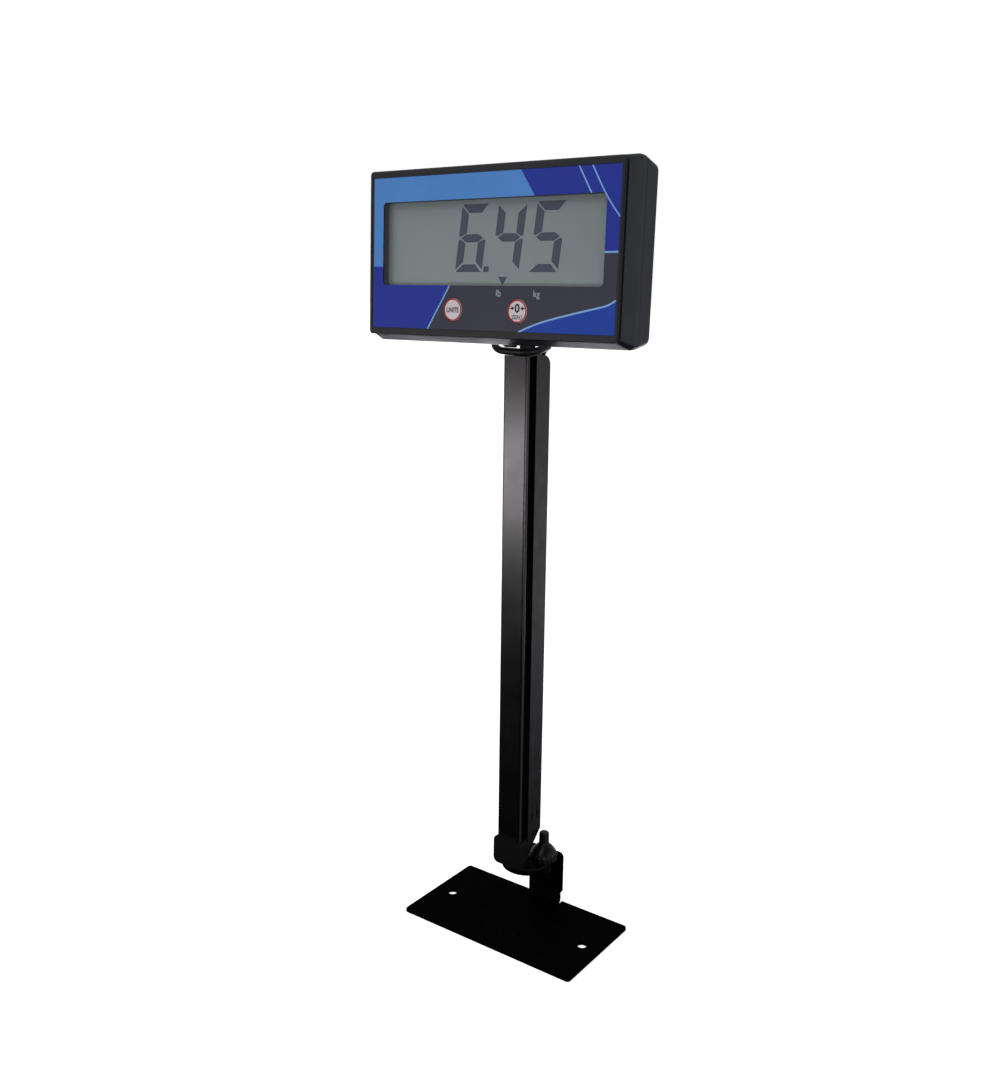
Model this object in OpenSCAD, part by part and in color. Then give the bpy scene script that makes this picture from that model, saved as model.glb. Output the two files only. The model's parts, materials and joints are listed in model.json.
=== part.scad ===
// Remote weight display on a swivelling column, with a two-hole base bracket.
// Millimetres. The origin is the middle of the bolt line, on the underside of the base plate.
// +X is the viewer's right, +Y points away from the viewer and +Z is up.

/* [Base bracket] */
// Width of the base plate along X
plate_w = 142; // [134:1:160]
// Depth of the base plate along Y
plate_d = 78; // [76:1:86]
// Thickness of the bent sheet steel
plate_t = 2.7; // [2.4:0.1:3]
// Distance between the two fixing holes
hole_spacing = 114.3; // [95:0.1:118]
// Diameter of the two fixing holes
hole_d = 6.8; // [5:0.1:8]
// Width of the tab that rises from the rear edge
tab_w = 28.8; // [28:0.2:30]
// Height of the tongue's upper face above the underside of the plate
tab_h = 41.8; // [40:0.2:44]

/* [Swivel foot] */
// Radius of the round tongue and of the turning disc on it
disc_r = 17.8; // [17:0.1:19]
// Distance from the pivot to the clamp stud
stud_reach = 13.2; // [13:0.1:13.6]
// Radius of the clamp knob's rim
knob_r = 9.9; // [9:0.1:10]
// How far the column turns each way
swivel_range = 45; // [20:5:50]

/* [Column] */
// Width of the front strip and of the rear channel
column_w = 18.6; // [17.6:0.2:19]
// Depth of the column, front face to the rear edges of the channel
column_d = 26.6; // [24:0.2:27]
// Height of the column's top above the underside of the plate
column_top = 404.5; // [400:0.5:406]
// Thickness of the channel's sheet steel
channel_t = 1.5; // [1.2:0.1:1.6]

/* [Display] */
// Width of the front bezel
display_w = 187.6; // [180:0.2:200]
// Height of the front bezel
display_h = 101.6; // [98:0.2:106]
// Depth of the display from bezel face to rear cover
display_d = 35; // [34:0.5:38]
// Backward lean of the display, in degrees
lean = 1.8; // [0:0.1:4]
// Width of the opening for the liquid crystal panel
window_w = 165; // [150:1:168]
// Height of the opening for the liquid crystal panel
window_h = 51; // [46:1:52]
// Radius of the two keys
key_r = 6.9; // [6:0.1:7.2]
// Distance from the middle of the bezel to each key
key_x = 24.4; // [20:0.1:30]

/* [Hidden] */
$fn = 48;

// Base bracket
plate_corner_r = 2.5;
bend_r = plate_t + 1.3;
rear_y = plate_d / 2;
relief_w = 1.2;
relief_d = bend_r + 1;
bend_x = 0.9;
bend_w = tab_w - 2 * bend_x;
tab_x = 2 * bend_x;
tab_top = tab_h;
tab_low = 9;
tab_corner_r = 3.5;
tongue_w = 20;

// Swivel foot, which turns about a vertical pivot
swivel_y = rear_y - 25;
pin_r = 2.5;
pin_fit = 0.06;
stud_angle = 12;
stud_x = stud_reach * cos(stud_angle);
stud_y = swivel_y + stud_reach * sin(stud_angle);
slot_half = pin_r + 0.3;
washer_t = 0.5;
washer_r = stud_reach - slot_half - 1;
foot_z = tab_h + washer_t + 0.05;
foot_t = 2;
foot_top = foot_z + foot_t;
foot_hub_z = foot_z + 6.2;
knob_z = foot_top + 0.3;
rivet_head_r = 3.8;

// Column
front_y = -9.6;
back_y = front_y + column_d;
strip_t = 2.4;
strip_w = column_w + 0.8;
channel_y = front_y + 10.8;
core_w = 11;
core_wall = 1.2;
column_z = foot_hub_z + 3;
column_h = column_top - column_z;
cup_wall = 1.6;
cup_gap = 0.1;
slot_y = 10.2;
slot_z = 83;
slot_reach = 4.4;
slot_r = 1.7;
cup_top = column_z + 18;
cup_r = 4.2;
flange_r = 7;

// Display, in its own leaning frame: X across, Y back from the bezel face, Z up from its lower edge
display_y = -43.9;
display_z = column_top + 11.9;
bezel_t = 2.6;
groove = 0.8;
flare_y = 14;
facet_y = 17.5;
case_wall = 2.2;
side_flare = 3.6;
top_flare = 2.2;
bottom_flare = 3.8;
rear_inset = 2.2;
rear_edge = 0.8;
rim_t = 1.2;
rim_inset = 1.6;
overlay_t = 0.45;
overlay_recess = 0.8;
overlay_side = 2.3;
overlay_edge = 4.3;
window_z = 56.7;
well_wall = 1.5;
well_depth = 5.8;
key_z = 16.5;
lcd_t = 2.8;
board_y = 11.4;
board_t = 1.6;
post_x = display_w / 2 - 8;
post_z = [9, display_h - 8];

// Tilt hinge, in the display's frame and then in the part's frame
tilt_y = 47;
tilt_z = 31;
bracket_half = 15.5;
bracket_t = 2;
axis_y = display_y + tilt_y * cos(lean) + tilt_z * sin(lean);
axis_z = display_z - tilt_y * sin(lean) + tilt_z * cos(lean);
barrel_r = 4.5;
barrel_half = 12.9;
neck_half = 5.5;

// Lead, from the gland on the rear cover, over the top of the column and down inside its channel
lead_d = 4.7;
gland_x = -24;
gland_end = 45;
lead_y = 9.5;
lead_drop = 274.5;
socket_top = column_top - lead_drop;
lead_start_y = display_y + (gland_end - 0.5) * cos(lean) + tilt_z * sin(lean);
lead_start_z = display_z - (gland_end - 0.5) * sin(lean) + tilt_z * cos(lean) - column_top;
// Heights in this list are measured from the column's top
lead_points = [
    [gland_x, lead_start_y, lead_start_z], [-24, 4, 41.5], [-24.2, 8.5, 40.5], [-24.6, 12.5, 37],
    [-25, 14.5, 31], [-25.2, 14, 24], [-25.3, 10.5, 16], [-25, 4.5, 10], [-21.5, -2.5, 5.8],
    [-15.5, -6.4, 3.2], [-8.5, -7.7, 2.5], [0, -7.7, 2.4], [7, -6.7, 2.4], [12.4, -2.8, 3.5],
    [13.9, 3.5, 5.1], [11.8, 9.4, 5.3], [6.9, 12.2, 2.5], [3, 12, -4.8], [1, 10.8, -12.5],
    [0, lead_y, -20.5], [0, lead_y, -45], [0, lead_y, -105], [0, lead_y, -165], [0, lead_y, -225],
    [0, lead_y, -lead_drop]];

// Shapes that repeat

module rounded_rect(w, h, r) {
    union() {
        square([w - 2 * r, h], center = true);
        square([w, h - 2 * r], center = true);
        for (x = [-1, 1], y = [-1, 1])
            translate([x * (w / 2 - r), y * (h / 2 - r)]) circle(r = r, $fn = 32);
    }
}

// A cylinder whose axis runs back along Y, from y0 to y1
module rod_y(r, y0, y1) {
    translate([0, y0, 0]) rotate([-90, 0, 0]) cylinder(r = r, h = y1 - y0);
}

// A cylinder whose axis runs along X, from x0 to x1
module rod_x(r, x0, x1) {
    translate([x0, 0, 0]) rotate([0, 90, 0]) cylinder(r = r, h = x1 - x0);
}

// A rounded plate that stands in the XZ plane, from y0 to y1, centred at height z
module upright_plate(w, h, r, z, y0, y1) {
    translate([0, y1, z]) rotate([90, 0, 0]) linear_extrude(y1 - y0) rounded_rect(w, h, r);
}

// Everything inside this module is drawn in the display's own leaning frame
module in_display() {
    translate([0, display_y, display_z]) rotate([-lean, 0, 0]) children();
}

module pan_screw(head_r, head_h, shank_r, length) {
    difference() {
        union() {
            cylinder(r = head_r, h = head_h);
            translate([0, 0, -length]) cylinder(r = shank_r, h = length + 0.1);
        }
        for (a = [0, 90])
            rotate([0, 0, a]) translate([0, 0, head_h])
                cube([head_r * 1.1, head_r * 0.26, head_h], center = true);
    }
}

// Base bracket: plate and tab bent from one sheet, with a round tongue welded to the tab

// The bend between the plate and the tab, drawn in the YZ plane
module tab_section() {
    translate([rear_y - plate_t, bend_r]) square([plate_t, tab_low + 4 - bend_r]);
    translate([rear_y - bend_r, bend_r]) rotate(-90) intersection() {
        difference() {
            circle(r = bend_r);
            circle(r = bend_r - plate_t);
        }
        square(bend_r);
    }
    translate([rear_y - bend_r - 2, 0]) square([2, plate_t]);
}

module stud_slot(half) {
    for (side = [-1, 1])
        rotate(stud_angle + side * (swivel_range + 1)) translate([stud_reach, 0]) circle(r = half);
    difference() {
        circle(r = stud_reach + half - 0.05, $fn = 96);
        circle(r = stud_reach - half + 0.05, $fn = 96);
        rotate(stud_angle + swivel_range + 1) translate([-40, 0]) square([80, 40]);
        rotate(stud_angle - swivel_range - 1) translate([-40, -40]) square([80, 40]);
    }
}

module base_plate() {
    linear_extrude(plate_t) difference() {
        rounded_rect(plate_w, plate_d, plate_corner_r);
        for (side = [-1, 1]) {
            translate([side * hole_spacing / 2, 0]) circle(d = hole_d);
            translate([bend_x + side * (bend_w + relief_w) / 2 - relief_w / 2, rear_y - relief_d])
                square([relief_w, relief_d + 1]);
        }
        translate([bend_x - bend_w / 2, rear_y - bend_r]) square([bend_w, bend_r + 1]);
    }
}

module base_bracket() {
    color("#0a0a0c") difference() {
        union() {
            base_plate();
            translate([bend_x, 0, 0]) rotate([90, 0, 90])
                linear_extrude(bend_w, center = true) tab_section();
            translate([tab_x, 0, 0]) upright_plate(tab_w, tab_top - tab_low, tab_corner_r,
                (tab_top + tab_low) / 2, rear_y - plate_t, rear_y);
            translate([bend_x - tongue_w / 2, swivel_y + 6, tab_h - plate_t])
                cube([tongue_w, rear_y - plate_t - swivel_y - 5.8, plate_t]);
            translate([0, swivel_y, tab_h - plate_t]) cylinder(r = disc_r, h = plate_t, $fn = 96);
        }
        translate([0, swivel_y, tab_h - plate_t - 1]) {
            cylinder(r = pin_r + pin_fit, h = plate_t + 2);
            linear_extrude(plate_t + 2) stud_slot(slot_half);
        }
    }
}

module friction_washer() {
    color("#d8d8d0") translate([0, swivel_y, tab_h]) difference() {
        cylinder(r = washer_r, h = washer_t);
        translate([0, 0, -1]) cylinder(r = pin_r + 0.3, h = washer_t + 2);
    }
}

// Swivel foot: turning disc, hub and the cup that holds the column's lower end

module foot_cup() {
    cup_w = strip_w + 2 * (cup_wall + cup_gap);
    cup_y = front_y - cup_gap - cup_wall;
    difference() {
        upright_plate(cup_w, cup_top - foot_hub_z, cup_r, (cup_top + foot_hub_z) / 2, cup_y, cup_y + 9.2);
        translate([-strip_w / 2 - cup_gap, front_y - cup_gap, column_z])
            cube([strip_w + 2 * cup_gap, 20, cup_top]);
    }
}

module foot_upright() {
    translate([-6, channel_y + channel_t + 0.1, column_z - 3]) cube([12, 2.2, 26]);
    translate([-8.5, -3, foot_top - 0.5]) cube([17, 9.1, column_z - foot_top + 0.5]);
}

foot_screw_z = [column_z + 9, column_z + 18];

module swivel_foot() {
    color("#101013") difference() {
        union() {
            translate([0, swivel_y, foot_z]) cylinder(r = disc_r, h = foot_t, $fn = 96);
            foot_cup();
            foot_upright();
        }
        translate([0, swivel_y, foot_z - 1]) cylinder(r = pin_r + 0.02, h = foot_t + 2);
        translate([stud_x, stud_y, foot_z - 1]) cylinder(r = pin_r + 0.02, h = foot_t + 2);
        for (z = foot_screw_z) translate([0, 0, z]) rod_y(1.6, channel_y, channel_y + 6);
    }
}

module pivot_rivet() {
    color("silver") translate([0, swivel_y, 0]) {
        translate([0, 0, tab_h - plate_t - 0.3]) cylinder(r = pin_r, h = foot_top - tab_h + plate_t + 0.4);
        translate([0, 0, tab_h - plate_t - 1.7]) cylinder(r = rivet_head_r, h = 1.4);
        translate([0, 0, foot_top]) cylinder(r = rivet_head_r, h = 1.3);
    }
}

module foot_screws() {
    color("dimgray") for (z = foot_screw_z)
        translate([0, channel_y + channel_t + 2.3, z]) rotate([-90, 0, 0]) pan_screw(3, 1.8, 1.6, 6);
}

module clamp_stud() {
    color("silver") translate([stud_x, stud_y, 0]) {
        translate([0, 0, tab_h - plate_t - 0.4])
            cylinder(r = pin_r, h = knob_z + 13 - tab_h + plate_t + 0.4);
        translate([0, 0, tab_h - plate_t - 2.7]) cylinder(r1 = 4.4, r2 = 5.4, h = 2.4);
    }
}

// Clamp knob: foot, fluted rim, sloping shoulder and a slim grip on top
knob_foot_r = 6.5;
knob_rim_z = 1.8;
knob_rim_top = 6.2;
knob_shoulder_z = 13.6;
knob_h = 22.6;
grip_r = 3.5;

module knob_section() {
    polygon([[pin_r + pin_fit, 0], [knob_foot_r, 0], [knob_foot_r, knob_rim_z], [knob_r - 0.5, knob_rim_z],
        [knob_r, knob_rim_z + 0.5], [knob_r, knob_rim_top - 0.5], [knob_r - 0.4, knob_rim_top],
        [knob_r - 0.5, 7], [8.1, 9.3], [6.3, 11.4], [4.7, 12.9], [grip_r + 0.4, knob_shoulder_z],
        [grip_r + 0.15, knob_shoulder_z + 1.4], [grip_r, knob_h - 1], [grip_r - 0.8, knob_h], [0, knob_h],
        [0, 15], [pin_r + pin_fit, 15]]);
}

module clamp_knob() {
    flutes = 16;
    color("#121214") translate([stud_x, stud_y, knob_z]) difference() {
        rotate_extrude($fn = 64) knob_section();
        for (i = [0 : flutes - 1])
            rotate([0, 0, i * 360 / flutes]) translate([knob_r + 0.35, 0, -1])
                cylinder(r = 0.8, h = knob_rim_top + 1.4, $fn = 16);
    }
}

// Column: painted front strip, narrow core behind it and a channel that is open at the back

module column_front() {
    edge_r = 2;
    color("#1d1a1b") translate([0, 0, column_z]) linear_extrude(column_h) union() {
        translate([-strip_w / 2 + edge_r, front_y]) square([strip_w - 2 * edge_r, strip_t]);
        translate([-strip_w / 2, front_y + edge_r]) square([strip_w, strip_t - edge_r]);
        for (side = [-1, 1])
            translate([side * (strip_w / 2 - edge_r), front_y + edge_r]) intersection() {
                circle(r = edge_r, $fn = 32);
                translate([-edge_r, -edge_r]) square([2 * edge_r, edge_r]);
            }
    }
}

module column_core() {
    y0 = front_y + strip_t;
    color("#050506") difference() {
        translate([-core_w / 2, y0, column_z]) cube([core_w, channel_y - y0, column_h - 1]);
        translate([-core_w / 2 + core_wall, y0 + core_wall, column_z - 1])
            cube([core_w - 2 * core_wall, channel_y - y0 - 2 * core_wall, column_h + 1]);
        for (z = concat(foot_screw_z, neck_screw_z)) translate([0, 0, z]) rod_y(1.6, -2, channel_y + 1);
        for (z = rivet_z) translate([0, 0, z]) rod_y(1.5, -2, channel_y + 1);
    }
}

rivet_z = [95, 230, 330];

// The side of the channel, drawn in the YZ plane, with a round upper corner and a cut lower corner
module flange_side() {
    r = flange_r;
    union() {
        polygon([[channel_y, column_z], [channel_y + 3, column_z + 5], [back_y, column_z + 18],
            [back_y, column_top - r], [back_y - r, column_top], [channel_y, column_top]]);
        translate([back_y - r, column_top - r]) intersection() {
            circle(r = r, $fn = 64);
            square(r);
        }
    }
}

// A long hole's shape, with round ends above and below, from x0 to x1
module long_hole(r, x0, x1) {
    translate([0, slot_y, slot_z]) {
        for (side = [-1, 1]) translate([0, 0, side * slot_reach]) rod_x(r, x0, x1);
        translate([x0, -r, -slot_reach]) cube([x1 - x0, 2 * r, 2 * slot_reach]);
    }
}

module column_rear() {
    color("#191a1d") difference() {
        union() {
            for (side = [-1, 1])
                translate([side * (column_w - channel_t) / 2, 0, 0])
                    rotate([90, 0, 90]) linear_extrude(channel_t, center = true) flange_side();
            translate([-column_w / 2, channel_y, column_z]) cube([column_w, channel_t, column_h]);
        }
        long_hole(slot_r, 4, column_w);
        for (z = foot_screw_z) translate([0, 0, z]) rod_y(1.6, 0, channel_y + 6);
        for (z = rivet_z) translate([0, 0, z]) rod_y(1.5, 0, channel_y + 6);
        for (z = neck_screw_z) translate([0, 0, z]) rod_y(1.6, 0, channel_y + 6);
    }
}

// Blanking plug in the wire slot: its body fills the slot and its rim lies against the inside
module slot_plug() {
    wall_x = column_w / 2 - channel_t;
    color("#0b0b0c") union() {
        long_hole(slot_r - 0.05, wall_x - 0.8, wall_x + 1);
        long_hole(slot_r + 0.9, wall_x - 0.85, wall_x - 0.05);
    }
}

module column_rivets() {
    y = channel_y + channel_t;
    color("dimgray") for (z = rivet_z) translate([0, 0, z]) {
        rod_y(2.6, channel_y - core_wall - 0.8, channel_y - core_wall);
        rod_y(1.5, channel_y - core_wall - 0.1, y + 0.1);
        rod_y(3, y, y + 0.9);
    }
}

module column_cap() {
    color("#4a4a4e") difference() {
        translate([0, 0, column_top - 1]) union() {
            linear_extrude(1) translate([-core_w / 2 + 0.1, -4.6]) square([core_w - 0.2, 5.7]);
            translate([0, 2.2, 1]) intersection() {
                translate([0, 0, -37.6]) sphere(r = 40, $fn = 96);
                translate([-column_w / 2 + 0.9, -5.8, 0]) cube([column_w - 1.8, 11.8, 6]);
            }
        }
        translate([-neck_half - 0.1, channel_y + channel_t - 0.1, column_top - 3])
            cube([2 * neck_half + 0.2, 6, 9]);
    }
}

// Neck: a plate fixed inside the channel, with the barrel of the tilt hinge at its top
neck_z = column_top - 62;
neck_screw_z = [column_top - 52, column_top - 30];
neck_t = 2;

module neck_bracket() {
    y0 = channel_y + channel_t;
    color("#121215") difference() {
        union() {
            translate([-neck_half, y0, neck_z]) cube([2 * neck_half, neck_t, axis_z - neck_z]);
            translate([0, axis_y, axis_z]) rod_x(barrel_r, -barrel_half, barrel_half);
        }
        translate([0, axis_y, axis_z]) rod_x(pin_r + pin_fit, -barrel_half - 1, barrel_half + 1);
        for (z = neck_screw_z) translate([0, 0, z]) rod_y(1.6, y0 - 1, y0 + neck_t + 1);
    }
}

module neck_screws() {
    color("dimgray") for (z = neck_screw_z)
        translate([0, channel_y + channel_t + neck_t, z]) rotate([-90, 0, 0]) pan_screw(2.6, 1.5, 1.6, 5);
}

clip_z = [135, 205, 275];

module cable_clips() {
    y0 = channel_y + channel_t;
    color("#1a1a1a") for (z = clip_z) translate([0, 0, z]) {
        difference() {
            union() {
                translate([-3.4, y0, -4]) cube([6.8, lead_y - y0, 8]);
                translate([0, lead_y, -4]) cylinder(r = 3.4, h = 8);
            }
            translate([0, lead_y, -5]) cylinder(r = lead_d / 2 + 0.05, h = 10);
            translate([-1.4, lead_y, -5]) cube([2.8, 6, 10]);
        }
    }
}

// Lead: a smooth curve through the route's points, swept as a round tube

function curve_point(p, i, t) =
    let (a = p[max(i - 1, 0)], b = p[i], c = p[i + 1], d = p[min(i + 2, len(p) - 1)])
    0.5 * ((2 * b) + (c - a) * t + (2 * a - 5 * b + 4 * c - d) * t * t + (3 * b - a - 3 * c + d) * t * t * t);

function unit(v) = v / norm(v);

lead_path = concat([for (i = [0 : len(lead_points) - 2], t = [0, 0.5]) curve_point(lead_points, i, t)],
    [lead_points[len(lead_points) - 1]]);
lead_steps = len(lead_path);
lead_dirs = [for (i = [0 : lead_steps - 1])
    unit(lead_path[min(i + 1, lead_steps - 1)] - lead_path[max(i - 1, 0)])];

// The next ring's side vector is the last one, made square to the new direction
function squared(n, d) = unit(n - d * (n * d));
lead_sides = [for (i = 0, n = squared([1, 0, 0], lead_dirs[0]); i < lead_steps;
    i = i + 1, n = i < lead_steps ? squared(n, lead_dirs[i]) : n) n];

module lead_cable() {
    sides = 10;
    rings = [for (i = [0 : lead_steps - 1], k = [0 : sides - 1])
        let (n = lead_sides[i], b = cross(lead_dirs[i], n), a = k * 360 / sides)
        lead_path[i] + lead_d / 2 * (n * cos(a) + b * sin(a))];
    walls = [for (i = [0 : lead_steps - 2], k = [0 : sides - 1])
        [i * sides + k, i * sides + (k + 1) % sides, (i + 1) * sides + (k + 1) % sides, (i + 1) * sides + k]];
    first = [for (k = [sides - 1 : -1 : 0]) k];
    last = [for (k = [0 : sides - 1]) (lead_steps - 1) * sides + k];
    faces = concat([first], walls, [last]);
    color("#0b0b0c") translate([0, 0, column_top]) polyhedron(rings, faces, convexity = 6);
}

module lead_socket() {
    color("#17171a") translate([0, lead_y, 0]) difference() {
        union() {
            translate([0, 0, socket_top - 8]) cylinder(r1 = 5.2, r2 = 3, h = 8);
            translate([0, 0, socket_top - 30]) cylinder(r = 5.2, h = 22);
            translate([-3, channel_y + channel_t - lead_y, socket_top - 26]) cube([6, 4, 14]);
        }
        translate([0, 0, socket_top - 31]) cylinder(r = 4.2, h = 9);
    }
}

// Tilt hinge on the back of the display

module ear_side() {
    translate([display_d, tilt_z - 6]) square([tilt_y - display_d, 12]);
    translate([tilt_y, tilt_z]) circle(r = 6);
}

bracket_screw_x = 10;
bracket_screw_z = [8, 52];

module display_bracket() {
    top = 60;
    lip = 5.8;
    lip_half = 13;
    lip_r = 4.5;
    color("#141417") in_display() difference() {
        union() {
            translate([0, display_d + bracket_t, 0]) rotate([90, 0, 0]) linear_extrude(bracket_t) union() {
                translate([-bracket_half, -2]) square([2 * bracket_half, top + 2]);
                translate([1, (6 - lip) / 2]) rounded_rect(2 * lip_half, lip + 6, lip_r);
            }
            for (side = [-1, 1])
                translate([side * (bracket_half - bracket_t / 2), 0, 0])
                    rotate([90, 0, 90]) linear_extrude(bracket_t, center = true) ear_side();
        }
        translate([0, tilt_y, tilt_z]) rod_x(pin_r + 0.02, -20, 20);
        translate([1.5, 0, -6]) rod_y(2.5, display_d - 1, display_d + 4);
        for (x = [-1, 1], z = bracket_screw_z)
            translate([x * bracket_screw_x, 0, z]) rod_y(1.7, display_d - 1, display_d + 4);
    }
}

module bracket_screws() {
    color("dimgray") in_display() for (x = [-1, 1], z = bracket_screw_z)
        translate([x * bracket_screw_x, display_d + bracket_t, z])
            rotate([-90, 0, 0]) pan_screw(3.1, 1.8, 1.6, 7);
}

module bracket_inserts() {
    color("goldenrod") in_display() for (x = [-1, 1], z = bracket_screw_z)
        translate([x * bracket_screw_x, 0, z]) difference() {
            rod_y(2.6, display_d - 6.4, display_d - 0.2);
            rod_y(1.62, display_d - 7, display_d + 1);
        }
}

module tilt_bolt() {
    color("silver") in_display() translate([0, tilt_y, tilt_z]) {
        rod_x(pin_r, -bracket_half - 0.1, bracket_half + 10);
        translate([-bracket_half - 3.4, 0, 0]) rotate([0, 90, 0]) cylinder(r = 4.6, h = 3.4, $fn = 6);
    }
}

module tilt_washers() {
    color("#d8d8d0") in_display() for (side = [-1, 1])
        translate([side * (bracket_half - bracket_t - 0.27), tilt_y, tilt_z]) difference() {
            rod_x(5.5, -0.23, 0.23);
            rod_x(pin_r + 0.2, -1, 1);
        }
}

module tilt_knob() {
    lobes = 6;
    color("#121214") in_display() translate([bracket_half + 0.3, tilt_y, tilt_z]) difference() {
        union() {
            rod_x(4.4, 0, 2.5);
            rod_x(9, 2.4, 10.5);
            rod_x(7.4, 10.4, 12);
        }
        rod_x(pin_r + pin_fit, -1, 10.2);
        for (i = [0 : lobes - 1])
            rotate([i * 360 / lobes, 0, 0]) translate([0, 0, 10.6]) rod_x(3, 1, 14);
    }
}

// Display casing

// The casing's outline at one depth: wider than the bezel by side, and taller by up and down
module case_slab(side, up, down, y, t, r) {
    translate([0, y + t, (display_h + up - down) / 2]) rotate([90, 0, 0])
        linear_extrude(t) rounded_rect(display_w + 2 * side, display_h + up + down, r, $fn = 32);
}

// The flared front half of the casing, made smaller all round by inset
module front_half(inset, y0) {
    hull() {
        case_slab(-inset, -inset, -inset, y0, 0.1, 3);
        case_slab(side_flare - inset, top_flare - inset, bottom_flare - inset, flare_y - 0.1, 0.1, 4);
    }
    case_slab(side_flare - inset, top_flare - inset, bottom_flare - inset, flare_y - 0.1,
        facet_y - flare_y + 0.1, 4);
}

// The rear half tapers in towards the back and ends in a small rounded edge
module rear_half(inset, y1) {
    hull() {
        case_slab(side_flare - inset, top_flare - inset, bottom_flare - inset, facet_y + 0.2, 0.1, 4);
        case_slab(side_flare - rear_inset - inset, top_flare - rear_inset - inset,
            bottom_flare - rear_inset - inset, y1 - rear_edge - 0.1, 0.1, 5);
        case_slab(side_flare - rear_inset - rear_edge - inset, top_flare - rear_inset - rear_edge - inset,
            bottom_flare - rear_inset - rear_edge - inset, y1 - 0.1, 0.1, 5);
    }
}

module front_bezel() {
    overlay_w = display_w - 2 * overlay_side;
    overlay_h = display_h - 2 * overlay_edge;
    color("#141416") in_display() difference() {
        union() {
            case_slab(-0.5, -0.5, -0.5, 0, 0.6, 2);
            case_slab(0, 0, 0, 0.5, rim_t - 0.5, 2.4);
            case_slab(-rim_inset, -rim_inset, -rim_inset, rim_t - 0.1, bezel_t - rim_t + 0.1, 2);
            case_slab(-case_wall - 0.3, -case_wall - 0.3, -case_wall - 0.3, bezel_t - 0.1, 3.4, 2);
            upright_plate(window_w + 2 * well_wall, window_h + 2 * well_wall, 3, window_z,
                bezel_t - 0.1, well_depth);
            for (x = [-1, 1], z = post_z)
                translate([x * post_x, 0, z]) rod_y(3.6, bezel_t - 0.1, board_y - 0.1);
            for (x = [-1, 1], z = board_screw_z)
                translate([x * board_screw_x, 0, z]) rod_y(2.6, bezel_t - 0.1, board_y - 0.1);
            for (x = [-1, 1]) translate([x * key_x, 0, key_z]) rod_y(key_r + 1.6, bezel_t - 0.1, 5);
        }
        difference() {
            case_slab(-case_wall - 1.8, -case_wall - 1.8, -case_wall - 1.8, bezel_t, 5, 2);
            upright_plate(window_w + 2 * well_wall, window_h + 2 * well_wall, 3, window_z, 0, 9);
            for (x = [-1, 1], z = post_z) translate([x * post_x, 0, z]) rod_y(3.6, 0, 9);
            for (x = [-1, 1], z = board_screw_z) translate([x * board_screw_x, 0, z]) rod_y(2.6, 0, 9);
            for (x = [-1, 1]) translate([x * key_x, 0, key_z]) rod_y(key_r + 1.6, 0, 9);
        }
        upright_plate(overlay_w, overlay_h, 1.5, display_h / 2, -1, overlay_recess);
        upright_plate(window_w, window_h, 2.5, window_z, -1, 12);
        for (x = [-1, 1]) translate([x * key_x, 0, key_z]) rod_y(key_r + 0.3, -1, 9);
        for (x = [-1, 1], z = post_z) translate([x * post_x, 0, z]) rod_y(1.3, 4, 14);
        for (x = [-1, 1], z = board_screw_z) translate([x * board_screw_x, 0, z]) rod_y(1.4, 5, 14);
    }
}

module overlay() {
    y1 = overlay_recess;
    color("#2446a0") in_display() difference() {
        upright_plate(display_w - 2 * overlay_side - 0.3, display_h - 2 * overlay_edge - 0.3, 1.4,
            display_h / 2, y1 - overlay_t, y1);
        upright_plate(window_w, window_h, 2.5, window_z, -1, 2);
        for (x = [-1, 1]) translate([x * key_x, 0, key_z]) rod_y(key_r + 0.3, -1, 2);
    }
}

// Each key is a round cap with a stem that reaches the switch behind it
module key(x) {
    in_display() translate([x, 0, key_z]) {
        rod_y(key_r - 0.4, 0, 0.3);
        rod_y(key_r, 0.2, 2.4);
        rod_y(2, 2.3, 8.1);
    }
}

module units_key() {
    color("#e6e2e0") key(-key_x);
}

module zero_key() {
    color("#e6e2e0") key(key_x);
}

module window_lens() {
    color("#c8d8d8", 0.4) in_display()
        upright_plate(window_w - 0.2, window_h - 0.2, 2.4, window_z, 1, 2.1);
}

module lcd_panel() {
    color("#8d948a") in_display()
        upright_plate(window_w + 5, window_h + 5, 0.8, window_z, well_depth + 0.1, well_depth + 0.1 + lcd_t);
}

module lcd_holder() {
    color("#e0e0dc") in_display() difference() {
        upright_plate(window_w + 8.4, window_h + 9, 1.5, window_z, well_depth + 0.1, board_y - 0.1);
        upright_plate(window_w + 5.2, window_h + 5.2, 0.8, window_z, 0, well_depth + 0.1 + lcd_t + 0.05);
        upright_plate(window_w + 1, window_h + 1, 0.8, window_z, 0, 20);
    }
}

module contact_strips() {
    color("#c86a8a") in_display() for (side = [-1, 1])
        translate([-window_w / 2 + 3, well_depth + 0.15 + lcd_t, window_z + side * (window_h / 2 - 1.6) - 1])
            cube([window_w - 6, board_y - well_depth - 0.2 - lcd_t, 2]);
}

board_screw_x = display_w / 2 - 23.8;
board_screw_z = [9, display_h - 9];

module main_board() {
    color("#1d5a34") in_display() difference() {
        upright_plate(display_w - 10, display_h - 10, 2, display_h / 2, board_y, board_y + board_t);
        for (x = [-1, 1], z = post_z) translate([x * post_x, 0, z]) rod_y(2, board_y - 1, board_y + 3);
        for (x = [-1, 1], z = board_screw_z)
            translate([x * board_screw_x, 0, z]) rod_y(1.4, board_y - 1, board_y + 3);
    }
}

module board_chips() {
    y = board_y + board_t;
    color("#202022") in_display() {
        translate([-12, y, 48]) cube([14, 2, 14]);
        translate([18, y, 50]) cube([8, 1.6, 12]);
        translate([-44, y, 62]) cube([10, 1.8, 6]);
        for (i = [0 : 3]) translate([36 + i * 7, y, 66]) rod_y(2.4, 0, 7);
        translate([-12, y, 30]) cube([11, 3.6, 4.6]);
    }
}

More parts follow.
